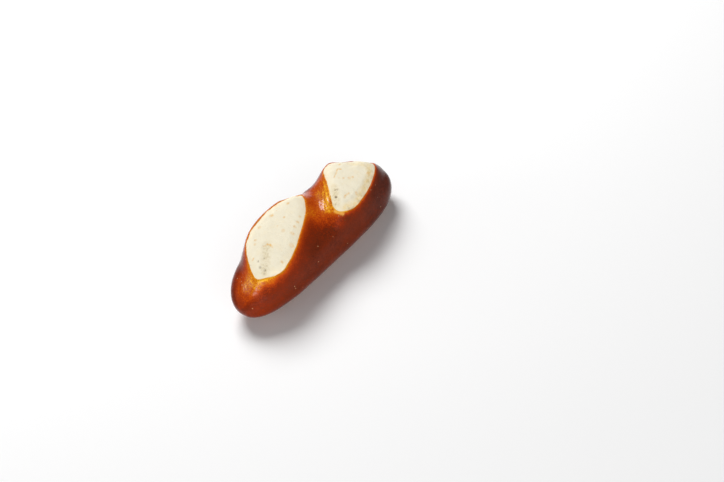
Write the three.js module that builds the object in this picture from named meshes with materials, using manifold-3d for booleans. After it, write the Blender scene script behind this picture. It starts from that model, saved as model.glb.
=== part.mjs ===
// A pretzel stick: one finger of dough dipped in lye, slashed twice and baked on a tray.
// The crust is brown and smooth. The two slashes have opened slantwise over the back, and the
// pale crumb bulges out of them. The stick lies along X on its flat sole, with its wide view at -Y.
// Millimetres, +Z up, with the origin in the middle of the sole.

import * as THREE from "three";
import { mergeVertices } from "three/addons/utils/BufferGeometryUtils.js";
import Module from "manifold-3d";

// The dough before it opened, measured from its spine
const HALF_LENGTH = 80;
const HALF_WIDTH = 27.7;
const RISE = 21.1; // spine to the back
const DROP = 26.3; // spine to the round underside that the tray then flattens
const SECTION_POWER = 2.22; // 2 is an ellipse, and more is squarer
const SLIM_END_POWER = 2.45; // bluntness of the end at -X
const BLUNT_END_POWER = 3.14; // bluntness of the end at +X

// How it lies on the tray
const SPINE_HEIGHT = 18.2;
const SPINE_ARCH = 2.9; // the spine's middle stands this much higher than its ends
const SPINE_BEND = 2.7; // and this much further towards +Y
const WAVE_UP = 1.04; // the slim half is raised by up to this much, and the blunt half lowered
const WAVE_ACROSS = 0.33; // and the slim half is moved towards +Y, the blunt half towards -Y
const SOLE_ROUNDING = 6.1; // height over which the flank turns into the sole

// The two slashes. The crust ends along a closed outline of points,
// [mm along the stick, degrees round from the back, + towards +Y], and the dough rose out of it.
// On the far side the crust reaches over what rose, which has an outline of its own there.
const SLASHES = [
  {
    swell: 9.2, // how far the dough rose
    near: [
      [-62.2, -26.5], [-58.2, -42.8], [-51.5, -52.5], [-42.5, -53.3], [-25.4, -43], [-2.5, -19],
      [9.3, 7],
    ],
    crustFar: [
      [12.6, 20], [16, 33], [15.5, 45], [9, 49], [3.5, 41], [-3, 43.5], [-21, 47], [-41, 40.5],
      [-54, 14],
    ],
    swellFar: [[11.4, 28], [8, 46], [-3, 60], [-21, 63], [-40, 46], [-54, 14]],
  },
  {
    swell: 8.1,
    near: [[16, -42], [22.5, -56], [35.5, -58], [51.8, -51], [64.8, -37.5]],
    crustFar: [
      [71, -21], [73.5, -6], [72.5, 11], [69.5, 29], [65, 43], [56, 47], [48, 46.5], [41, 36],
      [27, -10],
    ],
    swellFar: [[67.5, -17], [64, 6], [61.5, 28], [58.5, 47], [51, 56], [41, 36], [27, -10]],
  },
];
const UNROLLED_RADIUS = 27; // turns degrees round the stick into mm
const OUTLINE_STEPS = 66;
const SWELL_OUTSIDE = 16.3; // the swelling starts this far outside its outline
const SWELL_INSIDE = 9.5; // and is full this far inside it

// The crumb stands a little under the crust's edge, and is level with it further in
const CRUST_STEP = 0.6;
const CRUST_STEP_WIDTH = 7;

// Two places where the dough rose less, crust and crumb alike, along paths of
// [mm along the stick, degrees round it]. The width is from the middle to where it ends.
const DIPS = [
  { path: [[58, 4], [60.5, 27], [60, 38]], width: 9, depth: 1.7 },
  { path: [[6, 40], [12, 35]], width: 8, depth: 1.3 },
];

// Shallow troughs in the crumb alone
const TROUGHS = [
  { path: [[-39, -7], [-47, -21], [-55, -34]], width: 6, depth: 0.8 },
  { path: [[20, -38], [30, -19]], width: 5, depth: 0.7 },
  { path: [[26, -54], [43, -50], [58, -42]], width: 4.5, depth: 1 },
];

// Facets
const FACETS_ALONG = 42;
const FACETS_ACROSS = 14;

const crustMaterial = new THREE.MeshStandardMaterial({ color: 0x8c3510, roughness: 0.35, metalness: 0 });

function smooth(value) {
  const t = Math.min(Math.max(value, 0), 1);
  return t * t * t * (t * (6 * t - 15) + 10);
}

function unroll(along, degrees) {
  return new THREE.Vector2(along, UNROLLED_RADIUS * THREE.MathUtils.degToRad(degrees));
}

// Spine to surface along a direction, on the dough before it opened
function doughPoint(direction) {
  const { x, y, z } = direction;
  const section = sectionOf(y, z);
  const end = endPower(x);
  const size = ((Math.abs(x) / HALF_LENGTH) ** end + section ** (end / SECTION_POWER)) ** (1 / end);
  return direction.clone().divideScalar(size);
}

function sectionOf(y, z) {
  const reach = z > 0 ? RISE : DROP;
  return (Math.abs(y) / HALF_WIDTH) ** SECTION_POWER + (Math.abs(z) / reach) ** SECTION_POWER;
}

function endPower(x) {
  return x > 0 ? BLUNT_END_POWER : SLIM_END_POWER;
}

function slope(value, reach, power) {
  return (Math.sign(value) * (Math.abs(value) / reach) ** (power - 1)) / reach;
}

function doughNormal(point) {
  const { x, y, z } = point;
  const end = endPower(x);
  const section = Math.max(sectionOf(y, z), 1e-9) ** (end / SECTION_POWER - 1);
  return new THREE.Vector3(
    slope(x, HALF_LENGTH, end),
    section * slope(y, HALF_WIDTH, SECTION_POWER),
    section * slope(z, z > 0 ? RISE : DROP, SECTION_POWER),
  ).normalize();
}

// A closed outline on the unrolled surface
function outlineThrough(places) {
  const corners = places.map(([along, degrees]) => {
    const corner = unroll(along, degrees);
    return new THREE.Vector3(corner.x, corner.y, 0);
  });
  const curve = new THREE.CatmullRomCurve3(corners, true, "catmullrom", 0.5);
  return curve.getPoints(OUTLINE_STEPS).slice(0, -1).map((p) => new THREE.Vector2(p.x, p.y));
}

function distanceToLine(place, from, to) {
  const line = to.clone().sub(from);
  const share = place.clone().sub(from).dot(line) / line.lengthSq();
  return from.clone().addScaledVector(line, Math.min(Math.max(share, 0), 1)).distanceTo(place);
}

// Distance to an outline, less than 0 inside it
function distanceToOutline(place, outline) {
  let nearest = Infinity;
  let inside = false;
  for (let i = 0; i < outline.length; i += 1) {
    const from = outline[i];
    const to = outline[(i + 1) % outline.length];
    nearest = Math.min(nearest, distanceToLine(place, from, to));
    const crosses = from.y > place.y !== to.y > place.y;
    const crossing = from.x + ((place.y - from.y) * (to.x - from.x)) / (to.y - from.y);
    if (crosses && place.x < crossing) inside = !inside;
  }
  return inside ? -nearest : nearest;
}

const crustOutlines = SLASHES.map(({ near, crustFar }) => outlineThrough([...near, ...crustFar]));
const swellOutlines = SLASHES.map(({ near, swellFar }) => outlineThrough([...near, ...swellFar]));

function placeOf(point) {
  return unroll(point.x, THREE.MathUtils.radToDeg(Math.atan2(point.y, point.z)));
}

function distanceToPath(place, path) {
  const corners = path.map((corner) => unroll(...corner));
  return Math.min(...corners.slice(1).map((to, i) => distanceToLine(place, corners[i], to)));
}

function depthAt(place, hollows) {
  const depths = hollows.map(({ path, width, depth }) => {
    return depth * smooth(1 - distanceToPath(place, path) / width);
  });
  return Math.max(...depths);
}

function swellAt(place) {
  const rises = SLASHES.map(({ swell }, i) => {
    const inward = SWELL_OUTSIDE - distanceToOutline(place, swellOutlines[i]);
    return swell * smooth(inward / (SWELL_OUTSIDE + SWELL_INSIDE));
  });
  return rises[0] + rises[1] - depthAt(place, DIPS);
}

function crustPoint(direction) {
  const point = doughPoint(direction);
  return point.clone().addScaledVector(doughNormal(point), swellAt(placeOf(point)));
}

function crumbPoint(direction) {
  const point = doughPoint(direction);
  const place = placeOf(point);
  const inward = -Math.min(...crustOutlines.map((outline) => distanceToOutline(place, outline)));
  const step = CRUST_STEP * smooth(1 - inward / CRUST_STEP_WIDTH);
  const height = swellAt(place) - step - depthAt(place, TROUGHS);
  return point.clone().addScaledVector(doughNormal(point), height);
}

// A closed skin round the spine: a box of even facets, each corner moved out to its surface point
function skin(surfacePoint) {
  const box = new THREE.BoxGeometry(2, 2, 2, FACETS_ALONG, FACETS_ACROSS, FACETS_ACROSS);
  box.deleteAttribute("normal");
  box.deleteAttribute("uv");
  const geometry = mergeVertices(box);
  const corners = geometry.getAttribute("position");
  const even = (share) => Math.tan((share * Math.PI) / 4);
  for (let i = 0; i < corners.count; i += 1) {
    const height = even(corners.getZ(i));
    const direction = new THREE.Vector3(
      HALF_LENGTH * even(corners.getX(i)),
      HALF_WIDTH * even(corners.getY(i)),
      height * (height > 0 ? RISE : DROP),
    );
    const point = surfacePoint(direction);
    corners.setXYZ(i, point.x, point.y, point.z);
  }
  return geometry;
}

// The piece of crust that a slash took away: a cone from the spine whose wall
// follows the outline straight out through the surface
function opening(outline) {
  const ringsFromSurface = [-4, 16];
  const middle = new THREE.Vector2();
  outline.forEach((place) => middle.addScaledVector(place, 1 / outline.length));
  const centre = surfaceBelow(middle);
  const vertices = [new THREE.Vector3(centre.x, 0, 0)];
  ringsFromSurface.forEach((height) => {
    outline.forEach((place) => {
      const point = surfaceBelow(place);
      vertices.push(point.clone().addScaledVector(doughNormal(point), height));
    });
  });
  vertices.push(centre.clone().addScaledVector(doughNormal(centre), 2 * ringsFromSurface[1]));

  const count = outline.length;
  const faces = [];
  for (let i = 0; i < count; i += 1) {
    const low = [1 + i, 1 + ((i + 1) % count)];
    const high = low.map((index) => index + count);
    faces.push([0, low[1], low[0]]);
    faces.push([low[0], low[1], high[1]], [low[0], high[1], high[0]]);
    faces.push([high[0], high[1], vertices.length - 1]);
  }
  const geometry = new THREE.BufferGeometry().setFromPoints(vertices);
  geometry.setIndex(faces.flat());
  return geometry;
}

// The point of the unopened dough at a place on the unrolled surface
function surfaceBelow(place) {
  const angle = place.y / UNROLLED_RADIUS;
  const across = new THREE.Vector3(0, Math.sin(angle), Math.cos(angle));
  const end = endPower(place.x);
  const narrowing = (1 - (Math.abs(place.x) / HALF_LENGTH) ** end) ** (1 / end);
  const radius = narrowing / sectionOf(across.y, across.z) ** (1 / SECTION_POWER);
  return new THREE.Vector3(place.x, across.y * radius, across.z * radius);
}

// Bends the spine as it baked, and presses the underside flat on the tray
function settle(geometry) {
  const corners = geometry.getAttribute("position");
  for (let i = 0; i < corners.count; i += 1) {
    const x = corners.getX(i);
    const share = x / HALF_LENGTH;
    const middle = 0.6 - share ** 2;
    const wave = 1.5 * Math.sqrt(3) * (share ** 3 - share); // 1 in the slim half, -1 in the blunt
    const height = corners.getZ(i) + SPINE_HEIGHT + SPINE_ARCH * middle + WAVE_UP * wave;
    const lift = THREE.MathUtils.clamp(height / SOLE_ROUNDING, -1, 1);
    const onTray = (SOLE_ROUNDING * (lift + 1) ** 2) / 4;
    const y = corners.getY(i) + SPINE_BEND * middle + WAVE_ACROSS * wave;
    corners.setXYZ(i, x, y, lift < 1 ? onTray : height);
  }
  geometry.computeBoundingBox();
  const centre = geometry.boundingBox.getCenter(new THREE.Vector3());
  geometry.translate(-centre.x, -centre.y, 0);
}

const wasm = await Module();
wasm.setup();

function toSolid(geometry) {
  const vertProperties = new Float32Array(geometry.getAttribute("position").array);
  const triVerts = new Uint32Array(geometry.getIndex().array);
  return new wasm.Manifold(new wasm.Mesh({ numProp: 3, vertProperties, triVerts }));
}

function toGeometry(solid) {
  const mesh = solid.getMesh();
  const geometry = new THREE.BufferGeometry();
  geometry.setAttribute("position", new THREE.BufferAttribute(mesh.vertProperties, mesh.numProp));
  geometry.setIndex(new THREE.BufferAttribute(mesh.triVerts, 1));
  return geometry;
}

// The crust is cut away inside both outlines, and the crumb fills it and shows there
function stickGeometry() {
  let crust = toSolid(skin(crustPoint));
  crustOutlines.forEach((outline) => {
    crust = crust.subtract(toSolid(opening(outline)));
  });
  const geometry = toGeometry(crust.add(toSolid(skin(crumbPoint))));
  settle(geometry);
  geometry.computeVertexNormals();
  return geometry;
}

const stick = new THREE.Mesh(stickGeometry(), crustMaterial);
stick.name = "pretzel_stick";

const group = new THREE.Group();
group.add(stick);

export default group;
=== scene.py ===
# A pretzel stick on a pale table: one baked piece, a floor, three soft lights and a camera.

import math

import bpy
import numpy as np
from mathutils import Matrix, Vector, noise


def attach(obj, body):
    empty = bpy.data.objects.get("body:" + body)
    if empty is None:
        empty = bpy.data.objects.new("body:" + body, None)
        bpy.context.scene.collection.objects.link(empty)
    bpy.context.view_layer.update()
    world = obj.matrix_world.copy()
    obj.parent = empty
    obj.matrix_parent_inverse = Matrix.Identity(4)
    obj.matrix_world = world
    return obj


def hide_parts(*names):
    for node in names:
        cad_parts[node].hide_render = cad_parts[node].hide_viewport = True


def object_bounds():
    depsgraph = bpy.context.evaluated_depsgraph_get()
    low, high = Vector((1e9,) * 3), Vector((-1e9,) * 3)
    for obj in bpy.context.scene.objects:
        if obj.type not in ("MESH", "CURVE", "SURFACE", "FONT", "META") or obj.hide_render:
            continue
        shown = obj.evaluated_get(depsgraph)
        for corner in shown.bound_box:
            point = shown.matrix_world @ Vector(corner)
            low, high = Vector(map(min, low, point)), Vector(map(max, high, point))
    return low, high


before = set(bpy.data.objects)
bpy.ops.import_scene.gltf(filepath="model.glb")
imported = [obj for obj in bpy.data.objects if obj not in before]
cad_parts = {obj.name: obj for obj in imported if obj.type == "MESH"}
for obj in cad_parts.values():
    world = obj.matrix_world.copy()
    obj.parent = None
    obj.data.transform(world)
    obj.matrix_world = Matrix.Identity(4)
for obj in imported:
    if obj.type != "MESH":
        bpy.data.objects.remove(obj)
solid_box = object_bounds()


# The dough as it was before the oven: a finger of wheat dough rolled by hand, oval across, with
# one slim and one blunt end. It was dipped in lye, which browns the crust, and lay on a tray.
# Every point is worked out in mm round the spine, and moved out along the skin's normal.
MM = 0.001
half_length = (solid_box[1].x - solid_box[0].x) / 2 / MM
half_width = 27.7
rise = 21.1
drop = 26.3
section_power = 2.22
slim_end_power = 2.45
blunt_end_power = 3.14


def smooth(value):
    t = np.clip(value, 0, 1)
    return t * t * t * (t * (6 * t - 15) + 10)


def end_power(x):
    return np.where(x > 0, blunt_end_power, slim_end_power)


def section_of(y, z):
    reach = np.where(z > 0, rise, drop)
    return (np.abs(y) / half_width) ** section_power + (np.abs(z) / reach) ** section_power


def dough_points(directions):
    x, y, z = directions.T
    end = end_power(x)
    size = (np.abs(x) / half_length) ** end + section_of(y, z) ** (end / section_power)
    return directions / (size ** (1 / end))[:, None]


def slope(value, reach, power):
    return np.sign(value) * (np.abs(value) / reach) ** (power - 1) / reach


def dough_normals(points):
    x, y, z = points.T
    end = end_power(x)
    section = np.maximum(section_of(y, z), 1e-9) ** (end / section_power - 1)
    normals = np.stack([
        slope(x, half_length, end),
        section * slope(y, half_width, section_power),
        section * slope(z, np.where(z > 0, rise, drop), section_power),
    ], axis=1)
    return normals / np.linalg.norm(normals, axis=1)[:, None]


# The two slashes, cut slantwise with a blade before baking. They opened in the oven and the crumb
# rose out of them. The crust ends along a closed outline: mm along the stick, and degrees round
# it from the back. On the far side the crust reaches over what rose.
unrolled_radius = 27
first_near = [
    (-62.2, -26.5), (-58.2, -42.8), (-51.5, -52.5), (-42.5, -53.3), (-25.4, -43), (-2.5, -19),
    (9.3, 7),
]
first_crust_far = [
    (12.6, 20), (16, 33), (15.5, 45), (9, 49), (3.5, 41), (-3, 43.5), (-21, 47), (-41, 40.5),
    (-54, 14),
]
first_swell_far = [(11.4, 28), (8, 46), (-3, 60), (-21, 63), (-40, 46), (-54, 14)]
second_near = [(16, -42), (22.5, -56), (35.5, -58), (51.8, -51), (64.8, -37.5)]
second_crust_far = [
    (71, -21), (73.5, -6), (72.5, 11), (69.5, 29), (65, 43), (56, 47), (48, 46.5), (41, 36),
    (27, -10),
]
second_swell_far = [(67.5, -17), (64, 6), (61.5, 28), (58.5, 47), (51, 56), (41, 36), (27, -10)]
swells = [9.2, 8.1]
swell_outside = 16.3
swell_inside = 9.5
outline_steps_between_points = 10


def unroll(along, degrees):
    return np.array([along, unrolled_radius * math.radians(degrees)])


def places_of(points):
    return np.stack([points[:, 0], unrolled_radius * np.arctan2(points[:, 1], points[:, 2])], axis=1)


def curve_through(points):
    now = np.array([unroll(*point) for point in points])
    before, after, later = (np.roll(now, shift, axis=0) for shift in (1, -1, -2))
    curve = []
    for t in np.arange(outline_steps_between_points) / outline_steps_between_points:
        even = 2 * now + (after - before) * t
        bend = (2 * before - 5 * now + 4 * after - later) * t ** 2
        twist = (3 * now - before - 3 * after + later) * t ** 3
        curve.append((even + bend + twist) / 2)
    return np.stack(curve, axis=1).reshape(-1, 2)


crust_outlines = [
    curve_through(first_near + first_crust_far), curve_through(second_near + second_crust_far),
]
swell_outlines = [
    curve_through(first_near + first_swell_far), curve_through(second_near + second_swell_far),
]


def distance_to_outline(places, outline):
    """The distance to a closed outline, less than 0 inside it, and the nearest point on it."""
    nearest = np.full(len(places), np.inf)
    feet = np.zeros_like(places)
    inside = np.zeros(len(places), bool)
    for start, end in zip(outline, np.roll(outline, -1, axis=0)):
        line = end - start
        share = np.clip((places - start) @ line / (line @ line), 0, 1)
        foot = start + share[:, None] * line
        distance = np.linalg.norm(places - foot, axis=1)
        closer = distance < nearest
        nearest[closer] = distance[closer]
        feet[closer] = foot[closer]
        spans = (start[1] > places[:, 1]) != (end[1] > places[:, 1])
        crossing = start[0] + (places[:, 1] - start[1]) * line[0] / (line[1] or 1)
        inside ^= spans & (places[:, 0] < crossing)
    return np.where(inside, -nearest, nearest), feet


def swell_at(places):
    total = np.zeros(len(places))
    for swell, outline in zip(swells, swell_outlines):
        inward = swell_outside - distance_to_outline(places, outline)[0]
        total += swell * smooth(inward / (swell_outside + swell_inside))
    return total


# The skin of the stick starts as a cube cut into small even facets. Its corners move out to the
# dough's surface. Near a slash they are drawn towards the crust's edge, which is under a
# millimetre thick and needs finer facets than the rest.
facets_along = 236
facets_across = 84
drawn_within = 6
drawn_to = 0.35

bpy.ops.object.select_all(action="DESELECT")
bpy.ops.mesh.primitive_cube_add(size=2)
stick = bpy.context.object
stick.name = "pretzel_stick_baked"


def read_corners():
    corners = np.empty(len(stick.data.vertices) * 3, np.float32)
    stick.data.vertices.foreach_get("co", corners)
    return corners.reshape(-1, 3).astype(float)


def cut_edges_along(axis, pieces):
    ends = np.empty(len(stick.data.edges) * 2, np.int32)
    stick.data.edges.foreach_get("vertices", ends)
    ends = ends.reshape(-1, 2)
    corners = read_corners()
    runs = np.abs(corners[ends[:, 0], axis] - corners[ends[:, 1], axis]) > 1e-6
    bpy.context.tool_settings.mesh_select_mode = (False, True, False)
    bpy.ops.object.mode_set(mode="EDIT")
    bpy.ops.mesh.select_all(action="DESELECT")
    bpy.ops.object.mode_set(mode="OBJECT")
    stick.data.edges.foreach_set("select", runs)
    bpy.ops.object.mode_set(mode="EDIT")
    bpy.ops.mesh.subdivide(number_cuts=pieces - 1)
    bpy.ops.object.mode_set(mode="OBJECT")


for axis, pieces in enumerate((facets_along, facets_across, facets_across)):
    while pieces > 1:
        step = 4 if pieces % 4 == 0 else pieces
        cut_edges_along(axis, step)
        pieces //= step


def surface_below(places):
    angle = places[:, 1] / unrolled_radius
    across = np.stack([np.sin(angle), np.cos(angle)], axis=1)
    end = end_power(places[:, 0])
    narrowing = (1 - (np.abs(places[:, 0]) / half_length) ** end) ** (1 / end)
    radius = narrowing / section_of(*across.T) ** (1 / section_power)
    return np.column_stack([places[:, 0], across * radius[:, None]])


def drawn_to_edges(points):
    places = places_of(points)
    for outline in crust_outlines:
        distance, feet = distance_to_outline(places, outline)
        share = drawn_to + (1 - drawn_to) * smooth(np.abs(distance) / drawn_within)
        near = np.abs(distance) < drawn_within
        places[near] = feet[near] + (places[near] - feet[near]) * share[near, None]
        points[near] = surface_below(places[near])
    return points


even = np.tan(read_corners() * math.pi / 4)
reach = np.where(even[:, 2] > 0, rise, drop)
ones = np.ones_like(reach)
directions = even * np.column_stack([ones * half_length, ones * half_width, reach])
dough = drawn_to_edges(dough_points(directions))
normals = dough_normals(dough)
places = places_of(dough)


# Crust and crumb. The crust is about half a millimetre thick at its edge and curls up a little.
# The crumb stands just under it and rises level further in. It is lumpy, with shallow troughs
# where the dough tore last, a few fine tears, and pores that burst.
crust_step = 0.6
crust_step_width = 7
crust_wall_width = 1.3
lip_height = 0.05
lip_width = 2.6
wrinkle_width = 1.1
wrinkle_length = 6
wrinkle_depth = 0.06
stretched_wrinkle_depth = 0.24
wrinkles_start = 1.5
wrinkles_end = 14
crumbled_depth = 0.55
dips = [
    # the path as mm along and degrees round, then width and depth in mm
    ([(58, 4), (60.5, 27), (60, 38)], 9, 1.7),
    ([(6, 40), (12, 35)], 8, 1.3),
]
troughs = [
    ([(-39, -7), (-47, -21), (-55, -34)], 6, 0.8),
    ([(20, -38), (30, -19)], 5, 0.7),
    ([(26, -54), (43, -50), (58, -42)], 4.5, 1.0),
]
tears = [
    ([(-41, -4), (-38.5, -6), (-37.7, -12), (-38.7, -19.5)], 1.1, 0.35),
    ([(47.5, 5.6), (46.7, 12), (42.5, 5.8), (38, 0)], 1.1, 0.3),
    ([(27.3, -40.7), (29.6, -39.1), (32.9, -40.3)], 1.1, 0.25),
]
stretched = [
    # in this list and the next the path, how far it reaches in mm, and how much there is of it
    ([(4, -52), (10, -34), (18, -22), (30, 26)], 17, 1.0),
    ([(-62, -56), (-69, -30), (-70, 10)], 12, 1.0),
]
# Slopes where the crumb turns away from the light, painted darker tan as shade, with lumps on them
shaded_slopes = [
    ([(22, -52), (31, -56), (46, -49), (58, -38), (63, -24)], 4.5, 1.0),
    ([(61, -18), (58, 10)], 5, 0.6),
    ([(25, -30), (31, -12)], 4, 0.35),
]
pores = [
    # where, then radius and depth in mm
    ((24.5, -30.6), 1.0, 1.2), ((29.2, -20.4), 0.8, 0.5), ((30, -23.5), 0.9, 0.5),
    ((20, -38.3), 0.9, 0.4), ((-52.4, -14.5), 0.9, 0.5), ((-55, -24.7), 1.1, 0.5),
    ((-54.7, -33.5), 1.2, 0.5), ((-56.6, -36), 0.9, 0.4), ((-48.5, -20.4), 0.9, 0.35),
    ((-35, 48), 1.1, 0.6), ((50, 38), 1.0, 0.5),
]


def rough(points, size, amount, seed=0):
    """Soft lumps of about that size in mm, as high as amount and as deep."""
    start = Vector((seed * 17.3, seed * 5.1, seed * 9.7))
    return amount * np.array([noise.noise(Vector(point) + start) for point in points / size])


def distance_to_path(path):
    corners = [unroll(*corner) for corner in path]
    distance = np.full(len(places), np.inf)
    for start, end in zip(corners, corners[1:]):
        line = end - start
        share = np.clip((places - start) @ line / (line @ line), 0, 1)
        away = places - start - share[:, None] * line
        distance = np.minimum(distance, np.linalg.norm(away, axis=1))
    return distance


def near_paths(paths):
    """As much as each path says in its middle, fading to 0 at its reach."""
    fades = [amount * smooth(1 - distance_to_path(path) / reach) for path, reach, amount in paths]
    return np.max(fades, axis=0)


def distance_to_spot(spot):
    return np.linalg.norm(places - unroll(*spot), axis=1)


from_slashes = [distance_to_outline(places, outline)[0] for outline in crust_outlines]
signed = np.min(from_slashes, axis=0)
edge = signed + rough(dough, 7, 0.35, 1) + rough(dough, 1.8, 0.16, 2)
swell = swell_at(places) - near_paths(dips)

crust_height = swell + lip_height * smooth(1 - edge / lip_width) + rough(dough, 16, 0.3, 3)
along_edge = np.column_stack([signed / wrinkle_width, dough[:, :2] / wrinkle_length])
thin_skin = near_paths(stretched)
wrinkles = rough(along_edge, 1, wrinkle_depth + stretched_wrinkle_depth * thin_skin, 4)
crust_height += wrinkles * smooth(1 - signed / wrinkles_end) * smooth(signed / wrinkles_start)

crumb_height = swell - crust_step * smooth(1 + edge / crust_step_width)
crumb_height += rough(dough, 12, 0.6, 5) + rough(dough, 4.5, 0.45, 6) + rough(dough, 1.8, 0.16, 7)
crumb_height -= near_paths(troughs) + near_paths(tears)
# The creases of the first two troughs: pitted, and darkened in the colour as painted shade
shaded = near_paths([(path, width, 1) for path, width, depth in troughs[:2]])
crumb_height -= shaded * np.abs(rough(dough, 1.7, crumbled_depth, 8))
tan = near_paths(shaded_slopes)
crumb_height += tan * rough(dough, 3.2, 0.9, 9)
torn = near_paths([(path, width, 1) for path, width, depth in tears])
crumb_height -= np.max([depth * smooth(1.2 - distance_to_spot(spot) / radius)
                        for spot, radius, depth in pores], axis=0)

on_crust = smooth(0.5 + edge / crust_wall_width)
height = crumb_height + (crust_height - crumb_height) * on_crust
surface = dough + normals * height[:, None]


# Settling: the spine arched, bent and waved a little as it baked, and the tray pressed the sole
# flat. The middle of the spine stands highest, and the wave lifts the slim half and lowers the
# blunt one.
spine_height = 18.2
spine_arch = 2.9
spine_bend = 2.7
wave_up = 1.04
wave_across = 0.33
sole_rounding = 6.1

share = surface[:, 0] / half_length
middle = 0.6 - share ** 2
wave = 1.5 * math.sqrt(3) * (share ** 3 - share)
surface[:, 1] += spine_bend * middle + wave_across * wave
surface[:, 2] += spine_height + spine_arch * middle + wave_up * wave
lift = np.clip(surface[:, 2] / sole_rounding, -1, 1)
surface[:, 2] = np.where(lift < 1, sole_rounding * (lift + 1) ** 2 / 4, surface[:, 2])
solid_middle = (np.array(solid_box[0]) + np.array(solid_box[1])) / 2 / MM
shift = solid_middle - (surface.min(axis=0) + surface.max(axis=0)) / 2
surface[:, :2] += shift[:2]

stick.data.vertices.foreach_set("co", (surface * MM).ravel())
bpy.ops.object.mode_set(mode="EDIT")
bpy.ops.mesh.select_all(action="SELECT")
bpy.ops.mesh.normals_make_consistent(inside=False)
bpy.ops.object.mode_set(mode="OBJECT")
bpy.ops.object.shade_smooth()


# The bake. Lye turns the crust a glossy mahogany, darkest at the blunt end. It stayed orange
# where the oven stretched it thin: round the slashes, on the neck between them and round the slim
# end, with amber at the slashes' low tips and a torn golden fringe under the second. A few spots
# of the crumb toasted.
flank_bake = 0.86
blunt_end_bake = 0.12
blunt_end_starts = 20
blunt_end_fade = 40
slim_end_bake = -0.12
slim_end_starts = -42
slim_end_fade = 30
palest_bake = 0.26
rims = [
    # for each slash, how much paler its rim is and over how many mm that fades, wide and narrow
    ((0.44, 4.5), (0.22, 1.6)),
    ((0.42, 2.2), (0.15, 1)),
]
paler = [
    # the path as mm along and degrees round, how far it reaches in mm, and how much paler it is
    ([(-70, -30), (-70, 15)], 20, 0.28),
    ([(8, -28), (16, -22), (30, 26)], 19, 0.42),
    ([(13, -58), (15, -40), (20, -28)], 8, 0.18),
]
amber_tips = [
    # in this list and the next two the path, how far it reaches, and how much there is of it
    ([(-60.5, -45), (-56.5, -54)], 5.5, 1.0),
    ([(16, -46), (21, -57)], 2.2, 0.9),
]
fringes = [
    ([(15.5, -46), (17.8, -53)], 3.2, 1.0),
]
shiny = [
    ([(13, -30), (20, -14), (25, 6)], 9.5, 1.0),
    ([(-66, -38), (-66.5, -28), (-68, -4)], 9, 1.0),
]
toasted = [
    # where, then radius in mm
    ((-16.1, 27.6), 1.9), ((-13.9, 4.2), 1.1), ((-28.8, 30.7), 1.6), ((-23.9, -14.2), 1.5),
    ((-21.6, -27.6), 1.5), ((-16.2, -22.7), 1.2), ((-11.6, -20.2), 1.2), ((-6.8, -15.6), 1.1),
    ((-39.7, 18.9), 1.2), ((-42.7, 13.8), 1.1), ((-28.9, -39.2), 1.7), ((-42.9, -45.2), 1.1),
    ((-52.8, -2), 1.3), ((-1, 21.8), 1.4), ((-5, 40), 1.5), ((-24, 50), 1.2), ((43.9, -21.6), 1.3),
    ((41, -15.2), 1.0), ((46, -24.4), 1.1), ((37.3, -46.4), 1.1), ((56.5, -36.6), 1.7),
    ((52, 20), 1.3), ((48, 44), 1.2),
]


def paint(name, values):
    """Stores one number for each corner of the stick, for the material to read."""
    attribute = stick.data.attributes.new(name, "FLOAT", "POINT")
    attribute.data.foreach_set("value", values.astype(np.float32))


along = dough[:, 0]
bake = flank_bake + blunt_end_bake * smooth((along - blunt_end_starts) / blunt_end_fade)
bake += slim_end_bake * smooth((slim_end_starts - along) / slim_end_fade)
for distance, rim in zip(from_slashes, rims):
    for amount, fade in rim:
        bake -= amount * np.exp(-np.maximum(distance, 0) / fade)
for path, reach, amount in paler:
    bake -= amount * smooth(1 - distance_to_path(path) / reach)
bake = np.maximum(bake, palest_bake)
browned = np.max([smooth(1.4 - distance_to_spot(spot) / radius) for spot, radius in toasted], axis=0)
pitted = np.max([depth * smooth(1.3 - distance_to_spot(spot) / radius)
                 for spot, radius, depth in pores], axis=0)
paint("edge", edge)
paint("bake", bake)
paint("amber", near_paths(amber_tips))
paint("fringe", near_paths(fringes))
paint("stretched", thin_skin)
paint("shiny", near_paths(shiny))
paint("low", smooth((np.abs(places[:, 1]) / unrolled_radius - 1.05) / 0.5))
paint("browned", np.maximum(browned, 1.4 * torn))
# Painted shade in the creases
paint("shaded", shaded)
# Painted shade on the slopes that turn from the light
paint("tan", tan)
# How much painted shade each pore gets, from its depth
paint("pitted", np.minimum(pitted, 1))
paint("sole", smooth(1.4 - surface[:, 2] / 4))


class Channel:
    """One output of a shader node. It adds, subtracts and multiplies as a number does."""

    tree = None

    def __init__(self, socket):
        self.socket = socket

    @classmethod
    def node(cls, kind, sockets, settings=(), output=0):
        """Any node: its type, the values or links of its sockets, and its settings."""
        made = cls.tree.nodes.new("ShaderNode" + kind)
        for name, value in dict(settings).items():
            if name == "stops":
                while len(made.color_ramp.elements) < len(value):
                    made.color_ramp.elements.new(0.5)
                for stop, (position, colour) in zip(made.color_ramp.elements, value):
                    stop.position = position
                    stop.color = (*colour, 1)
            else:
                setattr(made, name, value)
        for name, value in sockets.items():
            if isinstance(value, Channel):
                cls.tree.links.new(value.socket, made.inputs[name])
            else:
                made.inputs[name].default_value = value
        return cls(made.outputs[output])

    @classmethod
    def math(cls, operation, *values):
        return cls.node("Math", dict(enumerate(values)), {"operation": operation})

    def __add__(self, other):
        return self.math("ADD", self, other)

    def __radd__(self, other):
        return self.math("ADD", other, self)

    def __sub__(self, other):
        return self.math("SUBTRACT", self, other)

    def __rsub__(self, other):
        return self.math("SUBTRACT", other, self)

    def __mul__(self, other):
        return self.math("MULTIPLY", self, other)

    def __rmul__(self, other):
        return self.math("MULTIPLY", other, self)


def painted(name):
    return Channel.node("Attribute", {}, {"attribute_name": name}, output="Fac")


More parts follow.
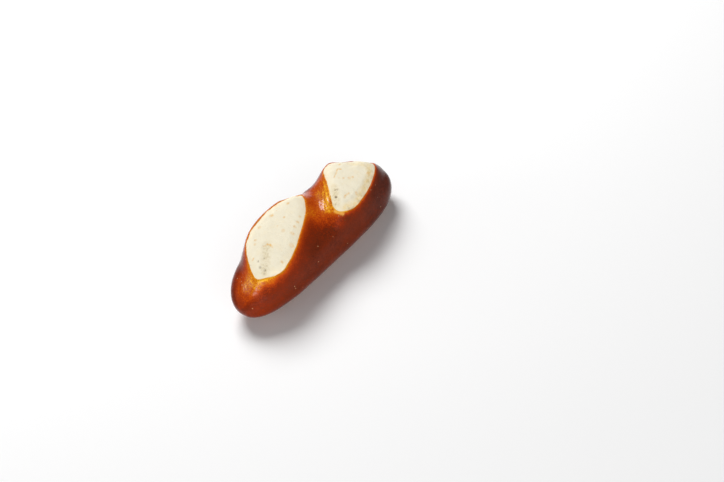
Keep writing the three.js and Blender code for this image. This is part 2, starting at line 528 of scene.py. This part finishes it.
def ramp(value, low, high):
    """0 up to low, 1 from high, and a soft step between."""
    sockets = {"Value": value, "From Min": low, "From Max": high}
    return Channel.node("MapRange", sockets, {"interpolation_type": "SMOOTHSTEP"})


def grain(place, size, detail=2.0, roughness=0.5):
    """Cloudy noise from 0 to 1, with lumps of about that size in metres."""
    sockets = {"Vector": place, "Scale": 1 / size, "Detail": detail, "Roughness": roughness}
    return Channel.node("TexNoise", sockets)


def blend(mask, below, above):
    """A colour, from below where the mask is 0 to above where it is 1."""
    settings = {"data_type": "RGBA"}
    sockets = {0: mask, 6: below, 7: above}
    return Channel.node("Mix", sockets, settings, output=2)


def specks(place, spacing, size):
    """1 on sparse round specks, 0 between them."""
    sockets = {"Vector": place, "Scale": 1 / spacing}
    distance = Channel.node("TexVoronoi", sockets, output="Distance")
    return 1 - ramp(distance, 0.6 * size / spacing, size / spacing)


bread = bpy.data.materials.new("lye_crust_and_crumb")
bread.use_nodes = True
bread.node_tree.nodes.remove(bread.node_tree.nodes["Principled BSDF"])
Channel.tree = bread.node_tree

# The distance from the crust's edge is in mm, and more than 0 on the crust
place = Channel.node("TexCoord", {}, output="Object")
from_edge = painted("edge")
is_crust = ramp(from_edge, -0.55, -0.3)

# From amber, through orange and chestnut, to the darkest mahogany
bake_colours = [
    (0.00, (0.87, 0.456, 0.027)),
    (0.12, (0.694, 0.25, 0.006)),
    (0.25, (0.515, 0.102, 0.004)),
    (0.40, (0.445, 0.058, 0.003)),
    (0.55, (0.305, 0.032, 0.003)),
    (0.70, (0.188, 0.0194, 0.003)),
    (0.85, (0.122, 0.0176, 0.005)),
    (1.00, (0.065, 0.0103, 0.0037)),
]
blister_tan = (0.55, 0.30, 0.15, 1)
fringe_gold = (0.84, 0.44, 0.09, 1)
sole_brown = (0.24, 0.085, 0.030, 1)

# Streaks run along the nearest slash's edge, where the skin stretched. They are about 1.5 mm
# wide and 9 mm long.
streaks_per_mm = 0.65
streaks_per_metre_along = 110
streak_place = Channel.node("CombineXYZ", {
    "X": from_edge * streaks_per_mm,
    "Y": Channel.node("SeparateXYZ", {"Vector": place}, output="X") * streaks_per_metre_along,
    "Z": Channel.node("SeparateXYZ", {"Vector": place}, output="Y") * streaks_per_metre_along,
})
streaks = grain(streak_place, 1.0, 3.0, 0.6)

# The crust: clouds and freckles in the bake, tiny pale blisters, and the fringe's torn skin
cloud = grain(place, 0.014, 3.0)
fine_cloud = grain(place, 0.0025, 4.0, 0.6)
speckle = grain(place, 0.0011, 3.0, 0.65)
baked = painted("bake") + (cloud - 0.5) * 0.22 + (fine_cloud - 0.5) * 0.22
baked = baked + (speckle - 0.5) * 0.4
# On the stretched skin pale streaks run through the colour: partly the wrinkled skin's own colour,
# partly painted highlight glinting off the wrinkles
baked = baked + painted("stretched") * ((speckle - 0.5) * 0.4 - (streaks - 0.45) * 0.45)
baked = baked - painted("amber") * (0.04 + fine_cloud * 0.3)
# Under the glossy patches the colour is paler and more amber: partly the thin skin's own colour,
# partly painted highlight. A thin amber line runs along the crust's edge.
baked = baked - painted("shiny") * 0.15 - ramp(from_edge, 0.8, -0.4) * 0.12
crust_colour = Channel.node("ValToRGB", {"Fac": baked}, {"stops": bake_colours})
blister = specks(place, 0.0065, 0.0006)
crust_colour = blend(blister * 0.55, crust_colour, blister_tan)
torn_skin = ramp(painted("fringe") + (speckle - 0.5) * 1.6, 0.2, 1.1)
crust_colour = blend(torn_skin * 0.8, crust_colour, fringe_gold)
crust_colour = blend(painted("sole") * 0.8, crust_colour, sole_brown)

# The crumb: cream with straw blotches, and a painted tan shade on the slopes that turn from the
# light. Creases get a painted beige shade, flecks are toasted, pores get a painted dark brown
# shade, and it darkens a little towards the crust.
cream = (0.84, 0.775, 0.61, 1)
straw = (0.86, 0.745, 0.50, 1)
slope_painted_shade = (0.80, 0.59, 0.23, 1)
toast = (0.78, 0.48, 0.16, 1)
crease_painted_shade = (0.66, 0.56, 0.36, 1)
pore_painted_shade = (0.13, 0.06, 0.010, 1)
rim_orange = (0.72, 0.40, 0.10, 1)

blotch = ramp(grain(place, 0.007, 4.0, 0.6), 0.50, 0.75)
fleck = specks(place, 0.0065, 0.0010) * ramp(grain(place, 0.004), 0.5, 0.62)
crumbs = ramp(grain(place, 0.0019, 3.0, 0.6), 0.42, 0.62)
crumb_colour = blend(blotch * 0.4 + ramp(speckle, 0.45, 0.7) * 0.25, cream, straw)
# Painted tan shade on the slopes that turn away from the light
crumb_colour = blend(painted("tan") * (0.32 + crumbs * 0.45), crumb_colour, slope_painted_shade)
# Painted beige shade in the creases
crumb_colour = blend(painted("shaded") * (0.25 + crumbs * 0.6), crumb_colour, crease_painted_shade)
crumb_colour = blend(fleck * 0.35 + painted("browned") * (0.3 + crumbs * 0.45), crumb_colour, toast)
# Painted shade in the pores: they darken to deep brown
pore_shade = painted("pitted") * (0.3 + fine_cloud * 0.6 + crumbs * 0.5)
crumb_colour = blend(pore_shade, crumb_colour, pore_painted_shade)
by_the_crust = ramp(from_edge, -7, 0) * 0.3 + ramp(from_edge, -1.4, 0) * 0.4
crumb_colour = blend(by_the_crust, crumb_colour, straw)
crumb_colour = blend(ramp(from_edge, -0.9, 0) * 0.7, crumb_colour, rim_orange)

crust_grain = speckle * 0.00014 + blister * 0.00012 + streaks * painted("stretched") * 0.0006
crumb_grain = grain(place, 0.0014, 5.0, 0.6) * 0.0005
relief = is_crust * crust_grain + (1 - is_crust) * crumb_grain
bump = Channel.node("Bump", {"Height": relief, "Distance": 1.0, "Strength": 1.0})

# The glaze is thin, and thicker where it ran together. It shines most where it is seen at a slant.
slant = Channel.node("LayerWeight", {"Blend": 0.5}, output="Facing")
glaze = 0.025 + painted("low") * 0.12 + ramp(slant, 0.5, 0.95) * 0.8
glaze = glaze + painted("shiny") * ramp(streaks * 0.5 + speckle * 0.5, 0.42, 0.58) * 0.95
skin = Channel.node("BsdfPrincipled", {
    "Base Color": blend(is_crust, crumb_colour, crust_colour),
    "Roughness": 0.85 - is_crust * (0.40 - fine_cloud * 0.1),
    "Specular IOR Level": 0.02,
    "Coat Weight": is_crust * glaze,
    "Coat Roughness": 0.18,
    "Normal": bump,
})
bread.node_tree.links.new(skin.socket, bread.node_tree.nodes["Material Output"].inputs["Surface"])
stick.data.materials.append(bread)

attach(stick, "root")
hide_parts("pretzel_stick")


# The table: a wide sheet of plain white paper, laid flat. It lies a hair under the sole, so that
# the two don't share a plane.
table_width = 6
table_height = -0.0002
bpy.ops.mesh.primitive_plane_add(size=table_width, location=(0, 0, table_height))
table = bpy.context.object
table.name = "table"
paper = bpy.data.materials.new("white_paper")
paper.use_nodes = True
paper_surface = paper.node_tree.nodes["Principled BSDF"].inputs
paper_surface["Base Color"].default_value = (0.96, 0.96, 0.96, 1)
paper_surface["Roughness"].default_value = 0.9
table.data.materials.append(paper)


# Soft daylight: a window behind the stick, a long low white card in front, a smaller one at the
# slim end, and a dim pale room.
room = bpy.data.worlds.new("pale_room")
bpy.context.scene.world = room
room.use_nodes = True
room.node_tree.nodes["Background"].inputs["Color"].default_value = (1, 1, 1, 1)
room.node_tree.nodes["Background"].inputs["Strength"].default_value = 0.12


def direction_at(azimuth, elevation):
    """Points from the stick, azimuth degrees round from -Y and elevation degrees up."""
    turn, lift = math.radians(azimuth), math.radians(elevation)
    level = math.cos(lift)
    return Vector((math.sin(turn) * level, -math.cos(turn) * level, math.sin(lift)))


def softbox(name, azimuth, elevation, distance, width, height, power):
    """A light that faces the stick from that direction."""
    towards = direction_at(azimuth, elevation)
    bpy.ops.object.light_add(type="AREA", location=towards * distance)
    lamp = bpy.context.object
    lamp.name = name
    lamp.rotation_euler = towards.to_track_quat("Z", "Y").to_euler()
    lamp.data.shape = "RECTANGLE"
    lamp.data.size = width
    lamp.data.size_y = height
    lamp.data.energy = power


softbox("window", 150, 52, 1.6, 0.9, 0.9, 27.5)
softbox("white_card", -32, 9, 1.6, 3.0, 0.55, 33)
softbox("end_card", -128, 14, 1.6, 1.6, 0.5, 5)

bpy.context.scene.view_settings.view_transform = "Standard"


# The camera looks down on the side where the slashes start. It is turned clockwise, and the
# stick stands left of the frame's middle.
camera_azimuth = -37.35
camera_elevation = 43.34
camera_roll = -17.11
camera_distance = 1.5
focal_length = 101.6
target = Vector((-0.0001, -0.0023, 0.0215))
aim_right = 0.0391
aim_down = 0.0046

back = direction_at(camera_azimuth, camera_elevation)
turn = math.radians(camera_azimuth)
level = Vector((math.cos(turn), math.sin(turn), 0))
roll = math.radians(camera_roll)
right = level * math.cos(roll) + back.cross(level) * math.sin(roll)
eye = target + back * camera_distance
aim = target + right * aim_right - back.cross(right) * aim_down
view_back = (eye - aim).normalized()
view_right = (right - view_back * right.dot(view_back)).normalized()
bpy.ops.object.camera_add(location=eye)
camera = bpy.context.object
camera.matrix_world = Matrix.Translation(eye) @ Matrix(
    (view_right, view_back.cross(view_right), view_back)
).transposed().to_4x4()
camera.data.lens = focal_length
camera.data.clip_start = 0.05
camera.data.clip_end = 20
bpy.context.scene.camera = camera
